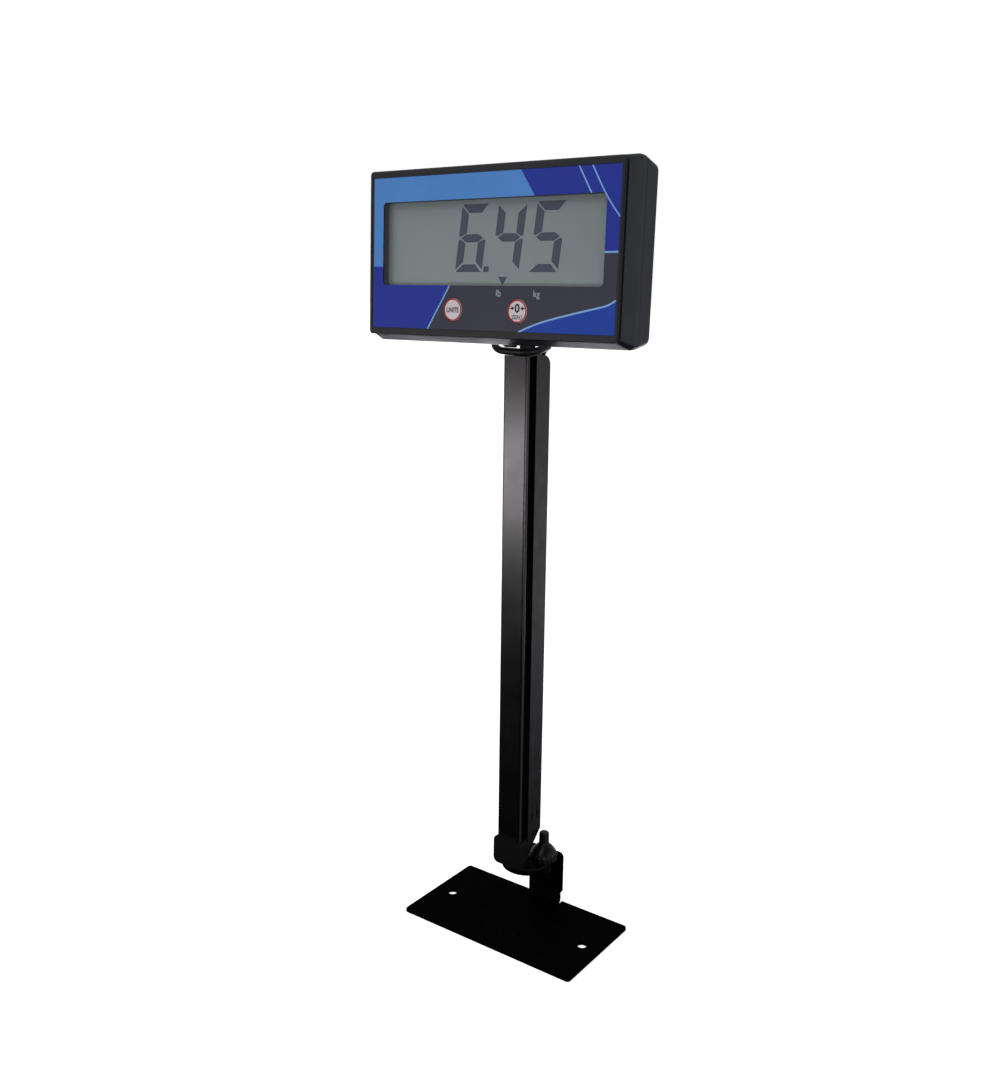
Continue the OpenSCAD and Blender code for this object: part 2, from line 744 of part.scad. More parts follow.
module key_switches() {
    color("#303033") in_display() for (x = [-1, 1]) translate([x * key_x, 0, key_z]) {
        translate([-3, board_y - 1.8, -3]) cube([6, 1.8, 6]);
        rod_y(1.7, board_y - 2.6, board_y - 1.7);
    }
}

module cable_header() {
    color("#ece8dc") in_display() translate([gland_x - 8, board_y + board_t, tilt_z - 4]) difference() {
        cube([16, 7, 8]);
        translate([1, 2, 1]) cube([14, 6, 6]);
    }
}

module board_lead() {
    color("#0b0b0c") in_display()
        translate([gland_x, 0, tilt_z]) rod_y(lead_d / 2, board_y + board_t + 2.2, gland_end - 0.8);
}

module buzzer() {
    color("#151515") in_display() translate([58, 0, 30]) difference() {
        rod_y(6, board_y + board_t, board_y + board_t + 6);
        rod_y(1, board_y + board_t + 4, board_y + board_t + 7);
    }
}

module board_screws() {
    color("silver") in_display() for (x = [-1, 1], z = board_screw_z)
        translate([x * board_screw_x, board_y + board_t, z]) rotate([-90, 0, 0]) pan_screw(2.4, 1.4, 1.38, 5);
}

module case_body() {
    y0 = bezel_t + groove;
    color("#1b1c1f") in_display() difference() {
        front_half(0, y0);
        case_slab(-case_wall, -case_wall, -case_wall, 0, 12, 2);
        case_slab(-case_wall + 1.5, -case_wall + 0.5, -case_wall + 1.5, 9, 12, 3);
    }
}

module case_gasket() {
    color("#2c2c2e") in_display() difference() {
        case_slab(side_flare - 0.9, top_flare - 0.6, bottom_flare - 0.9, facet_y, 0.2, 3);
        case_slab(-case_wall + 1.5, -case_wall + 0.5, -case_wall + 1.5, facet_y - 1, 3, 3);
    }
}

module rear_cover() {
    color("#1b1c1f") in_display() difference() {
        union() {
            difference() {
                rear_half(0, display_d);
                rear_half(case_wall, display_d - case_wall);
                case_slab(side_flare - case_wall, top_flare - case_wall, bottom_flare - case_wall,
                    facet_y - 1, 2, 3);
            }
            for (x = [-1, 1], z = post_z)
                translate([x * post_x, 0, z]) rod_y(4, board_y + board_t + 0.1, display_d - 1);
            for (x = [-1, 1], z = bracket_screw_z)
                translate([x * bracket_screw_x, 0, z]) rod_y(4.4, display_d - 8, display_d - 1);
        }
        for (x = [-1, 1], z = post_z) translate([x * post_x, 0, z]) {
            rod_y(1.8, 5, display_d + 1);
            rod_y(3.2, display_d - 3.4, display_d + 1);
        }
        for (x = [-1, 1], z = bracket_screw_z)
            translate([x * bracket_screw_x, 0, z]) rod_y(2.6, display_d - 7, display_d + 1);
        translate([gland_x, 0, tilt_z]) rod_y(4, display_d - 8, display_d + 1);
    }
}

module case_screws() {
    color("dimgray") in_display() for (x = [-1, 1], z = post_z)
        translate([x * post_x, display_d - 3.3, z])
            rotate([-90, 0, 0]) pan_screw(2.9, 2, 1.28, display_d - 9);
}

module cable_gland() {
    color("#0d0d0e") in_display() translate([gland_x, 0, tilt_z]) difference() {
        union() {
            rod_y(5.4, display_d - case_wall - 1.6, display_d - case_wall - 0.05);
            rod_y(3.9, display_d - case_wall - 0.1, display_d + 0.1);
            rod_y(6, display_d + 0.02, display_d + 2);
            translate([0, display_d + 1.9, 0]) rotate([-90, 0, 0])
                cylinder(r1 = 4.8, r2 = 3.2, h = gland_end - display_d - 1.9);
        }
        rod_y(lead_d / 2 + 0.1, 20, gland_end + 1);
    }
}

base_bracket();
friction_washer();
swivel_foot();
pivot_rivet();
foot_screws();
clamp_stud();
clamp_knob();
column_front();
column_core();
column_rear();
column_rivets();
slot_plug();
column_cap();
neck_bracket();
neck_screws();
cable_clips();
lead_cable();
lead_socket();
display_bracket();
bracket_screws();
bracket_inserts();
tilt_bolt();
tilt_washers();
tilt_knob();
front_bezel();
overlay();
units_key();
zero_key();
window_lens();
lcd_panel();
lcd_holder();
contact_strips();
main_board();
board_chips();
key_switches();
cable_header();
board_lead();
buzzer();
board_screws();
case_body();
case_gasket();
rear_cover();
case_screws();
cable_gland();
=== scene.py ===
import bmesh
import bpy
import json
import math
from mathutils import Matrix, Vector

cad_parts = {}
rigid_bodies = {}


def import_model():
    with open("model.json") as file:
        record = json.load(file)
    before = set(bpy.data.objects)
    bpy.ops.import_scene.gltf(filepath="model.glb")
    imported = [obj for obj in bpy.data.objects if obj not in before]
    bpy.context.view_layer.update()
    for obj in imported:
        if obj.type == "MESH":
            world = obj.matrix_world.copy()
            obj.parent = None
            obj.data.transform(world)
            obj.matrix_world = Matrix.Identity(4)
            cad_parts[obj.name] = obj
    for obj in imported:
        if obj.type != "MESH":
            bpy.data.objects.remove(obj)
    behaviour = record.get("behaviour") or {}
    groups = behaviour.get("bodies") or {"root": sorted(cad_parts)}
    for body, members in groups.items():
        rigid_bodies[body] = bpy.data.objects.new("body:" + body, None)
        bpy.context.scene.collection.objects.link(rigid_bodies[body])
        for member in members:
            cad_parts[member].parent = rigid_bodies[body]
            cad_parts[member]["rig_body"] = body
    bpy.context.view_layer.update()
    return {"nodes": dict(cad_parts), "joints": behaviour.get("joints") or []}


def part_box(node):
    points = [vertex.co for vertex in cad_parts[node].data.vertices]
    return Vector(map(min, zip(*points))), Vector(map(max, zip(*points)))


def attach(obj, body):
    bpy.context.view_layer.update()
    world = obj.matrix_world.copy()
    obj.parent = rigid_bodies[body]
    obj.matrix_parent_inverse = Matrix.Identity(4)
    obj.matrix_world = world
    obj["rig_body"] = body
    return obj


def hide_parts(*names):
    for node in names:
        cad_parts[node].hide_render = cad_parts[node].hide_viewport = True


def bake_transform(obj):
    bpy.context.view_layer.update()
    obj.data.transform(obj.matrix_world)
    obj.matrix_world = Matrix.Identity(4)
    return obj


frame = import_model()
nodes = frame["nodes"]
joints = {j["name"]: j for j in frame["joints"]}
MM = 0.001


# ---------------------------------------------------------------- frames and sizes

def centre_of(node):
    low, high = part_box(node)
    return (low + high) / 2


# The display leans back, and its keys move square to its face, so a key's axis gives the lean.
press = Vector(joints["units_key_press"]["axis"])
LEAN = math.atan2(-press.z, press.y)
TILT = Matrix.Rotation(-LEAN, 4, "X")
LENS_MID = Vector((0, 1.55, 56.7)) * MM
DISPLAY = Matrix.Translation(centre_of("window_lens") - TILT @ LENS_MID) @ TILT
WORLD = Matrix.Identity(4)

BEZEL_W, BEZEL_H, DEPTH = 187.6, 101.6, 35.0
WINDOW_W, WINDOW_H, WINDOW_Z = 165.0, 51.0, 56.7
KEY_Z = 16.5
KEY_X = (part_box("zero_key")[0].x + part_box("zero_key")[1].x) / 2 / MM
KEY_R = (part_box("zero_key")[1].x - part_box("zero_key")[0].x) / 2 / MM
GLAND_X, GLAND_Z = centre_of("cable_gland").x / MM, 31.0
COLUMN_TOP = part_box("column_front")[1].z


# ---------------------------------------------------------------- material helpers

def rgb(r, g, b):
    """A screen colour, 0 to 255, as the linear numbers that a shader takes."""
    def linear(v):
        v = v / 255
        return v / 12.92 if v <= 0.04045 else ((v + 0.055) / 1.055) ** 2.4
    return (linear(r), linear(g), linear(b), 1.0)


class Nodes:
    """A short way to write a node tree."""

    def __init__(self, material):
        material.use_nodes = True
        self.tree = material.node_tree
        self.shader = self.tree.nodes["Principled BSDF"]
        self.coord = None

    def add(self, kind, **values):
        n = self.tree.nodes.new("ShaderNode" + kind)
        for key, value in values.items():
            if key in n.inputs:
                n.inputs[key].default_value = value
            else:
                setattr(n, key, value)
        return n

    def link(self, a, b):
        self.tree.links.new(a, b)

    def place(self, stretch=None):
        if self.coord is None:
            self.coord = self.add("TexCoord").outputs["Object"]
        if stretch is None:
            return self.coord
        m = self.add("Mapping")
        m.inputs["Scale"].default_value = stretch
        self.link(self.coord, m.inputs["Vector"])
        return m.outputs["Vector"]

    def noise(self, scale, detail=3.0, rough=0.55, stretch=None):
        n = self.add("TexNoise", Scale=scale, Detail=detail, Roughness=rough)
        self.link(self.place(stretch), n.inputs["Vector"])
        return n.outputs["Fac"]

    def span(self, value, low, high, out_low=0.0, out_high=1.0):
        n = self.add("MapRange")
        n.inputs["From Min"].default_value = low
        n.inputs["From Max"].default_value = high
        n.inputs["To Min"].default_value = out_low
        n.inputs["To Max"].default_value = out_high
        self.link(value, n.inputs["Value"])
        return n.outputs["Result"]

    def maths(self, operation, a, b):
        n = self.add("Math", operation=operation)
        for socket, v in zip(n.inputs, (a, b)):
            if isinstance(v, (int, float)):
                socket.default_value = v
            else:
                self.link(v, socket)
        return n.outputs["Value"]

    def mix(self, factor, a, b):
        n = self.add("Mix", data_type="RGBA")
        self.link(factor, n.inputs["Factor"])
        for socket, v in ((n.inputs[6], a), (n.inputs[7], b)):
            if isinstance(v, tuple):
                socket.default_value = v
            else:
                self.link(v, socket)
        return n.outputs[2]

    def bump(self, height, distance, strength=1.0, onto=None):
        n = self.add("Bump", Strength=strength, Distance=distance)
        self.link(height, n.inputs["Height"])
        if onto is not None:
            self.link(onto, n.inputs["Normal"])
        return n.outputs["Normal"]


def shade(colour, factor):
    return tuple(min(1.0, c * factor) for c in colour[:3]) + (1.0,)


MATERIALS = {}


def finish_of(name, colour, rough, metal=0.0, specular=0.5, vary=0.12, blotch=25.0, rough_vary=0.08,
              grain=None, grain_depth=0.00002, brush=None, dust=None, sheen=0.0):
    """A moulded, painted or plated finish: patchy colour, uneven gloss, and a fine grain or brushing."""
    material = bpy.data.materials.new(name)
    n = Nodes(material)
    patch = n.noise(blotch, 4.0)
    spread = n.span(patch, 0.3, 0.7)
    base = n.mix(spread, shade(colour, 1 - vary), shade(colour, 1 + vary))
    if dust is not None:
        specks = n.span(n.noise(900.0, 2.0, 0.7), 0.66, 0.74)
        base = n.mix(n.maths("MULTIPLY", specks, dust), base, rgb(150, 150, 150))
    n.link(base, n.shader.inputs["Base Color"])
    uneven = n.span(n.noise(blotch * 3.1, 5.0), 0.3, 0.7, rough - rough_vary, rough + rough_vary)
    n.link(uneven, n.shader.inputs["Roughness"])
    normal = None
    if grain is not None:
        normal = n.bump(n.noise(grain, 3.0, 0.6), grain_depth, 1.0)
    if brush is not None:
        normal = n.bump(n.noise(600.0, 4.0, 0.6, brush), 0.00002, 0.6, normal)
    if normal is not None:
        n.link(normal, n.shader.inputs["Normal"])
    n.shader.inputs["Metallic"].default_value = metal
    n.shader.inputs["Specular IOR Level"].default_value = specular
    n.shader.inputs["Sheen Weight"].default_value = sheen
    MATERIALS[name] = material


finish_of("powder_black", rgb(16, 17, 20), 0.55, specular=0.30, grain=1400.0, grain_depth=0.00003, dust=0.10)
finish_of("foot_black", rgb(6, 6, 7), 0.55, specular=0.12, grain=1400.0, grain_depth=0.00003, dust=0.08)
finish_of("plate_black", rgb(3, 3, 3), 0.70, specular=0.01, grain=1200.0, grain_depth=0.00003, dust=0.08)
finish_of("strip_paint", rgb(4, 4, 4), 0.23, specular=0.62, blotch=12.0, vary=0.18, grain=1700.0,
          grain_depth=0.000012, rough_vary=0.03)
finish_of("channel_paint", rgb(9, 10, 13), 0.32, specular=0.55, grain=1500.0, grain_depth=0.00002)
# Near-black and dull, darker than the channel: partly the cable duct's own black, partly painted shade for the
# deep recess between the front strip and the channel's flanges.
finish_of("core_black_painted_shade", rgb(5, 5, 6), 0.75, specular=0.10, grain=1500.0)
finish_of("case_plastic", rgb(34, 37, 46), 0.42, specular=0.45, blotch=18.0, vary=0.08, grain=2600.0,
          grain_depth=0.000028)
finish_of("bezel_plastic", rgb(16, 19, 26), 0.42, specular=0.40, blotch=18.0, vary=0.08, grain=2600.0,
          grain_depth=0.00002)
finish_of("knob_plastic", rgb(8, 8, 10), 0.33, specular=0.3, blotch=60.0, grain=1500.0, grain_depth=0.00001)
# Light grey, much lighter than the black parts around it: partly the cap's own grey, partly a painted highlight
# for the bright band that light makes on top of the column under the lead.
finish_of("cap_grey_painted_highlight", rgb(92, 93, 98), 0.42, specular=0.5, blotch=60.0, grain=2000.0, grain_depth=0.00001)
finish_of("zinc_steel", rgb(178, 178, 174), 0.30, metal=1.0, vary=0.08, blotch=90.0, brush=(1, 1, 12))
finish_of("dark_steel", rgb(52, 52, 55), 0.38, metal=0.9, vary=0.15, blotch=120.0, brush=(10, 1, 1))
finish_of("brass", rgb(190, 150, 80), 0.32, metal=1.0, blotch=90.0, brush=(1, 1, 10))
finish_of("jacket", rgb(15, 15, 17), 0.42, specular=0.4, blotch=40.0, grain=900.0, grain_depth=0.00003,
          sheen=0.1)
finish_of("nylon", rgb(208, 206, 196), 0.40, vary=0.05, blotch=80.0, grain=1500.0, grain_depth=0.00001)
finish_of("foam", rgb(40, 40, 42), 0.85, specular=0.2, blotch=200.0, grain=2500.0, grain_depth=0.00006)
finish_of("solder_mask", rgb(24, 84, 46), 0.35, vary=0.15, blotch=130.0, grain=900.0, grain_depth=0.00002)
finish_of("chip", rgb(26, 26, 28), 0.5, vary=0.2, blotch=250.0, grain=3000.0, grain_depth=0.00002)
finish_of("contact", rgb(180, 96, 128), 0.6, vary=0.2, blotch=900.0, brush=(1, 1, 30))

# Inks on the film share one gloss and one faint weave, so that they read as one printed sheet.
INK = dict(specular=0.30, vary=0.05, blotch=30.0, rough_vary=0.04, grain=3200.0, grain_depth=0.000008)
finish_of("ink_charcoal", rgb(56, 60, 73), 0.42, **INK)
finish_of("ink_light", rgb(84, 150, 225), 0.42, **INK)
finish_of("ink_navy", rgb(26, 50, 164), 0.42, **INK)
finish_of("ink_royal", rgb(8, 66, 172), 0.42, **INK)
finish_of("ink_line", rgb(140, 192, 250), 0.42, **INK)
finish_of("ink_pale", rgb(170, 172, 182), 0.42, **INK)
finish_of("ink_black", rgb(12, 13, 16), 0.42, **INK)
finish_of("ink_red", rgb(196, 40, 42), 0.42, **INK)
finish_of("key_white", rgb(226, 222, 224), 0.36, specular=0.4, vary=0.03, blotch=140.0, grain=2600.0,
          grain_depth=0.000008)
finish_of("segment", rgb(48, 60, 84), 0.5, specular=0.3, vary=0.05, blotch=60.0)


def lcd_material():
    """The reflector behind the liquid crystal: grey-green, with a fine cell grid and a soft unevenness."""
    material = bpy.data.materials.new("lcd_reflector")
    n = Nodes(material)
    soft = n.span(n.noise(9.0, 3.0), 0.3, 0.7)
    base = n.mix(soft, rgb(136, 151, 151), rgb(150, 165, 165))
    cell = n.add("TexVoronoi", Scale=2200.0)
    n.link(n.place(), cell.inputs["Vector"])
    speck = n.span(cell.outputs["Distance"], 0.0, 0.8, 0.0, 0.10)
    base = n.mix(speck, base, rgb(70, 80, 80))
    n.link(base, n.shader.inputs["Base Color"])
    n.link(n.span(n.noise(40.0), 0.3, 0.7, 0.50, 0.60), n.shader.inputs["Roughness"])
    n.link(n.bump(n.noise(2600.0, 2.0), 0.00001, 0.6), n.shader.inputs["Normal"])
    n.shader.inputs["Specular IOR Level"].default_value = 0.3
    MATERIALS["lcd_reflector"] = material


def lens_material():
    """A clear acrylic window with a light haze."""
    material = bpy.data.materials.new("clear_window")
    n = Nodes(material)
    n.link(n.span(n.noise(30.0, 4.0), 0.3, 0.7, 0.08, 0.16), n.shader.inputs["Roughness"])
    haze = n.mix(n.span(n.noise(14.0), 0.3, 0.7), rgb(236, 242, 242), rgb(248, 250, 250))
    n.link(haze, n.shader.inputs["Base Color"])
    n.shader.inputs["IOR"].default_value = 1.49
    n.shader.inputs["Alpha"].default_value = 0.03
    n.shader.inputs["Specular IOR Level"].default_value = 0.5
    MATERIALS["clear_window"] = material


lcd_material()
lens_material()


# ---------------------------------------------------------------- mesh helpers

def make(name, verts, faces, material, body, where=WORLD, angle=35.0):
    """A mesh piece from millimetres. where is its own frame, and body is the CAD body that it rides on."""
    mesh = bpy.data.meshes.new(name)
    mesh.from_pydata([Vector(v) * MM for v in verts], [], faces)
    mesh.validate()
    bm = bmesh.new()
    bm.from_mesh(mesh)
    bmesh.ops.recalc_face_normals(bm, faces=bm.faces)
    bm.to_mesh(mesh)
    bm.free()
    obj = bpy.data.objects.new(name, mesh)
    bpy.context.scene.collection.objects.link(obj)
    obj.matrix_world = where
    mesh.materials.append(MATERIALS[material])
    soften(obj, angle)
    if body:
        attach(obj, body)
    return obj


def soften(obj, angle=35.0):
    """Smooth shading up to an angle. Large faces stay flat, and the narrow ones beside them take the turn."""
    obj.data.shade_smooth()
    obj.data.set_sharp_from_angle(angle=math.radians(angle))
    m = obj.modifiers.get("normals") or obj.modifiers.new("normals", "WEIGHTED_NORMAL")
    m.weight = 100
    m.keep_sharp = True


def rounded(w, h, r, z=0.0, steps=8):
    """A rounded rectangle's outline in the XZ plane, as (x, z) pairs, counter-clockwise from the front."""
    points = []
    for cx, cz, start in ((w / 2 - r, h / 2 - r, 0), (-w / 2 + r, h / 2 - r, 90),
                          (-w / 2 + r, -h / 2 + r, 180), (w / 2 - r, -h / 2 + r, 270)):
        for i in range(steps + 1):
            a = math.radians(start + 90 * i / steps)
            points.append((cx + r * math.cos(a), z + cz + r * math.sin(a)))
    return points


def loft(rings, closed=False, caps=(True, True)):
    """Verts and faces of a skin over rings with equal counts. closed joins the last ring to the first."""
    count = len(rings[0])
    verts = [p for ring in rings for p in ring]
    faces = []
    last = len(rings) if closed else len(rings) - 1
    for i in range(last):
        j = (i + 1) % len(rings)
        for k in range(count):
            m = (k + 1) % count
            faces.append((i * count + k, i * count + m, j * count + m, j * count + k))
    if not closed and caps[0]:
        faces.append(tuple(range(count))[::-1])
    if not closed and caps[1]:
        faces.append(tuple((len(rings) - 1) * count + k for k in range(count)))
    return verts, faces


def lathe(profile, steps=64, wobble=None):
    """Turns (radius, height) pairs about +Z. wobble(angle, radius, height) gives a changed radius."""
    rings = []
    for r, h in profile:
        ring = []
        for k in range(steps):
            a = 2 * math.pi * k / steps
            rr = wobble(a, r, h) if wobble else r
            ring.append((rr * math.cos(a), rr * math.sin(a), h))
        rings.append(ring)
    return loft(rings)


def baked(obj):
    """Applies an object's modifiers to its mesh, apart from the one that sets its normals."""
    if "normals" in obj.modifiers:
        obj.modifiers.remove(obj.modifiers["normals"])
    graph = bpy.context.evaluated_depsgraph_get()
    mesh = bpy.data.meshes.new_from_object(obj.evaluated_get(graph))
    obj.modifiers.clear()
    obj.data = mesh
    return obj


def bevel(obj, width, segments):
    """Rounds the edges that turn by more than 30 degrees."""
    m = obj.modifiers.new("edges", "BEVEL")
    m.width = width * MM
    m.segments = segments
    m.limit_method = "ANGLE"
    m.angle_limit = math.radians(30)
    baked(obj)


def cut(obj, *cutters):
    """Takes the cutters out of obj, then deletes them."""
    for c in cutters:
        m = obj.modifiers.new("cut", "BOOLEAN")
        m.operation = "DIFFERENCE"
        m.solver = "EXACT"
        m.object = c
    bpy.context.view_layer.update()
    baked(obj)
    for c in cutters:
        bpy.data.objects.remove(c)
    soften(obj)
    return obj


def circle(r, steps):
    """Points about the origin, as (u, v) pairs."""
    turns = [2 * math.pi * k / steps for k in range(steps)]
    return [(r * math.cos(a), r * math.sin(a)) for a in turns]


def bore(x, z, r, start, end):
    """A rod along the display's Y, for cutting holes in its casing."""
    rings = [[(x + u, y, z + v) for u, v in circle(r, 48)] for y in (start, end)]
    return make("bore", *loft(rings), "knob_plastic", None, DISPLAY)


def refined(node, material, width, segments):
    """A copy of a CAD node with its sharp edges rounded, which stands for the node."""
    mesh = nodes[node].data.copy()
    mesh.materials.clear()
    bm = bmesh.new()
    bm.from_mesh(mesh)
    bmesh.ops.remove_doubles(bm, verts=bm.verts, dist=2e-6)
    bmesh.ops.dissolve_limit(bm, angle_limit=math.radians(0.6), verts=bm.verts, edges=bm.edges)
    bm.to_mesh(mesh)
    bm.free()
    obj = bpy.data.objects.new(node + "_piece", mesh)
    bpy.context.scene.collection.objects.link(obj)
    mesh.materials.append(MATERIALS[material])
    bevel(obj, width, segments)
    soften(obj)
    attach(obj, nodes[node]["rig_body"])
    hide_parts(node)


def dress(node, material):
    """Gives a CAD node that stays a better material."""
    data = nodes[node].data
    data.materials.clear()
    data.materials.append(MATERIALS[material])


# ---------------------------------------------------------------- casing

def case_ring(side, up, down, r, y):
    """The casing's outline at depth y, wider than the bezel by side and taller by up and down."""
    mid = (BEZEL_H + up - down) / 2
    return [(x, y, z) for x, z in rounded(BEZEL_W + 2 * side, BEZEL_H + up + down, r, mid)]


def panel_ring(w, h, r, z, y):
    return [(x, y, zz) for x, zz in rounded(w, h, r, z)]


MID_Z = BEZEL_H / 2
bezel_rings = [
    panel_ring(WINDOW_W, WINDOW_H, 2.5, WINDOW_Z, 0.8),
    panel_ring(BEZEL_W - 4.6, BEZEL_H - 8.6, 1.5, MID_Z, 0.8),
    panel_ring(BEZEL_W - 4.6, BEZEL_H - 8.6, 1.5, MID_Z, 0.22),
    panel_ring(BEZEL_W - 4.5, BEZEL_H - 8.5, 1.6, MID_Z, 0.06),
    panel_ring(BEZEL_W - 4.1, BEZEL_H - 8.1, 1.8, MID_Z, 0.0),
    case_ring(-0.75, -0.75, -0.75, 2.0, 0.0),
    case_ring(-0.35, -0.35, -0.35, 2.1, 0.1),
    case_ring(-0.08, -0.08, -0.08, 2.3, 0.4),
    case_ring(0, 0, 0, 2.4, 0.7),
    case_ring(0, 0, 0, 2.4, 1.1),
    case_ring(-0.12, -0.12, -0.12, 2.3, 1.25),
    case_ring(-1.6, -1.6, -1.6, 2.2, 1.3),
    case_ring(-1.6, -1.6, -1.6, 2.2, 2.6),
    case_ring(-2.5, -2.5, -2.5, 2.0, 2.6),
    case_ring(-2.5, -2.5, -2.5, 2.0, 5.8),
    case_ring(-4.0, -4.0, -4.0, 2.0, 5.8),
    case_ring(-4.0, -4.0, -4.0, 2.0, 2.6),
    panel_ring(WINDOW_W + 3, WINDOW_H + 3, 3.0, WINDOW_Z, 2.6),
    panel_ring(WINDOW_W + 3, WINDOW_H + 3, 3.0, WINDOW_Z, 5.8),
    panel_ring(WINDOW_W, WINDOW_H, 2.5, WINDOW_Z, 5.8),
]
bezel = make("bezel_frame", *loft(bezel_rings, closed=True), "bezel_plastic", None, DISPLAY)
cut(bezel, *[bore(side * KEY_X, KEY_Z, KEY_R + 0.3, -1, 6) for side in (-1, 1)])
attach(bezel, "display")
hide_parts("front_bezel")

# How far the casing's widest outline stands out past the bezel: at each side, above and below.
FLARE = (3.6, 2.2, 3.8)
TAPER = 2.2


def flared(part, r, y, inset=0.0):
    """part runs from 0, the bezel's outline, to 1, the widest outline."""
    return case_ring(*(f * part - inset for f in FLARE), r, y)


body_rings = [
    case_ring(-2.2, -2.2, -2.2, 2.0, 9.0),
    case_ring(-2.2, -2.2, -2.2, 2.0, 3.7),
    case_ring(-1.9, -1.9, -1.9, 2.2, 3.4),
    flared(0, 2.8, 3.4, 0.45),
    flared(0.01, 3.0, 3.52, 0.12),
    flared(0.04, 3.0, 3.85),
    flared(0.43, 3.4, 8.0),
    flared(0.90, 3.8, 13.0),
    flared(0.985, 4.0, 14.0),
    flared(1.0, 4.0, 14.8),
    flared(1.0, 4.0, 17.0),
    flared(1.0, 4.0, 17.36, 0.1),
    flared(1.0, 3.9, 17.5, 0.35),
    case_ring(-0.7, -1.7, -0.7, 3.0, 17.5),
    case_ring(-0.7, -1.7, -0.7, 3.0, 9.0),
]
case_body = make("casing_front", *loft(body_rings, closed=True), "case_plastic", "display", DISPLAY)
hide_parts("case_body")


def tapered(part, r, y, inset=0.0):
    """part runs from 0, the widest outline, to 1, the outline near the back."""
    return case_ring(*(f - TAPER * part - inset for f in FLARE), r, y)


cover_rings = [
    tapered(1.0, 3.0, DEPTH - 2.2, 4.6),
    tapered(0.95, 3.2, DEPTH - 2.4, 2.7),
    tapered(0.1, 3.0, 19.0, 2.2),
    tapered(0.0, 3.0, 17.7, 2.2),
    tapered(0.0, 3.9, 17.7, 0.35),
    tapered(0.0, 4.0, 17.86, 0.1),
    tapered(0.03, 4.0, 18.2),
    tapered(0.5, 4.5, 25.8),
    tapered(0.99, 5.0, 33.9),
    tapered(1.0, 5.0, 34.3, 0.05),
    tapered(1.0, 5.0, 34.7, 0.25),
    tapered(1.0, 5.0, 34.92, 0.55),
    tapered(1.0, 5.0, DEPTH, 0.95),
]
cover = make("casing_rear", *loft(cover_rings), "case_plastic", None, DISPLAY)
screw_low, screw_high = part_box("case_screws")
POST_X = (screw_high.x - screw_low.x) / 2 / MM - 2.9
POST_Z = (9.0, BEZEL_H - 8.0)
BRACKET_HOLES = [(x, z) for x in (-10, 10) for z in (8, 52)]
cutters = [bore(side * POST_X, z, 3.2, 31.6, 36) for side in (-1, 1) for z in POST_Z]
cutters += [bore(x, z, 2.65, 31.5, 36) for x, z in BRACKET_HOLES]
cutters += [bore(GLAND_X, GLAND_Z, 4.0, 31.5, 36)]
plate_ring = [panel_ring(62, 34, 2.0, 70, DEPTH - 0.35), panel_ring(62.4, 34.4, 2.2, 70, DEPTH + 1)]
plate_cut = make("bore", *loft([[(x + 52, y, z) for x, y, z in ring] for ring in plate_ring]), "knob_plastic",
                 None, DISPLAY)
cut(cover, *cutters, plate_cut)
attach(cover, "display")
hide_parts("rear_cover")


# ---------------------------------------------------------------- printed film

FILM_W, FILM_H = BEZEL_W - 4.9, BEZEL_H - 8.9
LEFT_MARGIN = 1.0
LEFT, RIGHT = -FILM_W / 2 + LEFT_MARGIN, FILM_W / 2
LOW, HIGH = MID_Z - FILM_H / 2, MID_Z + FILM_H / 2
WL, WR = -WINDOW_W / 2, WINDOW_W / 2
WB, WT = WINDOW_Z - WINDOW_H / 2, WINDOW_Z + WINDOW_H / 2
CORNER = 2.5
INK_Y = 0.35
FILM_T = 0.02
LAYER_STEP = 0.03


def arc(cx, cz, r, start, end, steps=6):
    return [(cx + r * math.cos(math.radians(start + (end - start) * i / steps)),
             cz + r * math.sin(math.radians(start + (end - start) * i / steps))) for i in range(steps + 1)]


def flat(name, outline, material, layer=0, body="display", front=None):
    """A printed area: an outline in (x, z), a few hundredths of a millimetre thick, in front of its backing."""
    back = (INK_Y - 0.005 - LAYER_STEP * layer) if front is None else front
    near = back - FILM_T
    n = len(outline)
    verts = [(x, near, z) for x, z in outline] + [(x, back, z) for x, z in outline]
    faces = [tuple(range(n)), tuple(range(n, 2 * n))[::-1]]
    faces += [(k, (k + 1) % n, n + (k + 1) % n, n + k) for k in range(n)]
    obj = make(name, verts, faces, material, body, DISPLAY, 30.0)


def stroke(name, points, width):
    """A printed line of even width through the points, on top of the printed areas."""
    left, right = [], []
    for i, (x, z) in enumerate(points):
        a, b = points[max(i - 1, 0)], points[min(i + 1, len(points) - 1)]
        dx, dz = b[0] - a[0], b[1] - a[1]
        size = math.hypot(dx, dz)
        nx, nz = -dz / size * width / 2, dx / size * width / 2
        left.append((x + nx, z + nz))
        right.append((x - nx, z - nz))
    flat(name, left + right[::-1], "ink_line", 1)


def smooth_curve(points, steps=6):
    """A Catmull-Rom curve through the points, of any dimension."""
    out = []
    for i in range(len(points) - 1):
        a, b = points[max(i - 1, 0)], points[i]
        c, d = points[i + 1], points[min(i + 2, len(points) - 1)]
        for k in range(steps):
            t = k / steps
            out.append(tuple(0.5 * (2 * q + (r - p) * t + (2 * p - 5 * q + 4 * r - s) * t * t
                                    + (3 * q - p - 3 * r + s) * t * t * t) for p, q, r, s in zip(a, b, c, d)))
    out.append(tuple(points[-1]))
    return out


def along(start, end, z):
    """The x at height z on the straight line through two (x, z) points."""
    return start[0] + (end[0] - start[0]) * (z - start[1]) / (end[1] - start[1])


STEP_LEFT, STEP_RIGHT = 42.6, 50.6
slant_top = along((24.0, 96.8), (33.5, 82.9), HIGH)
slant_low = along((24.0, 96.8), (33.5, 82.9), WT)
light_area = [(LEFT, HIGH), (slant_top, HIGH), (slant_low, WT), (WL + CORNER, WT)]
light_area += arc(WL + CORNER, WT - CORNER, CORNER, 90, 180)[1:]
light_area += [(WL, STEP_LEFT), (LEFT, STEP_LEFT)]
flat("ink_light_area", light_area[::-1], "ink_light")

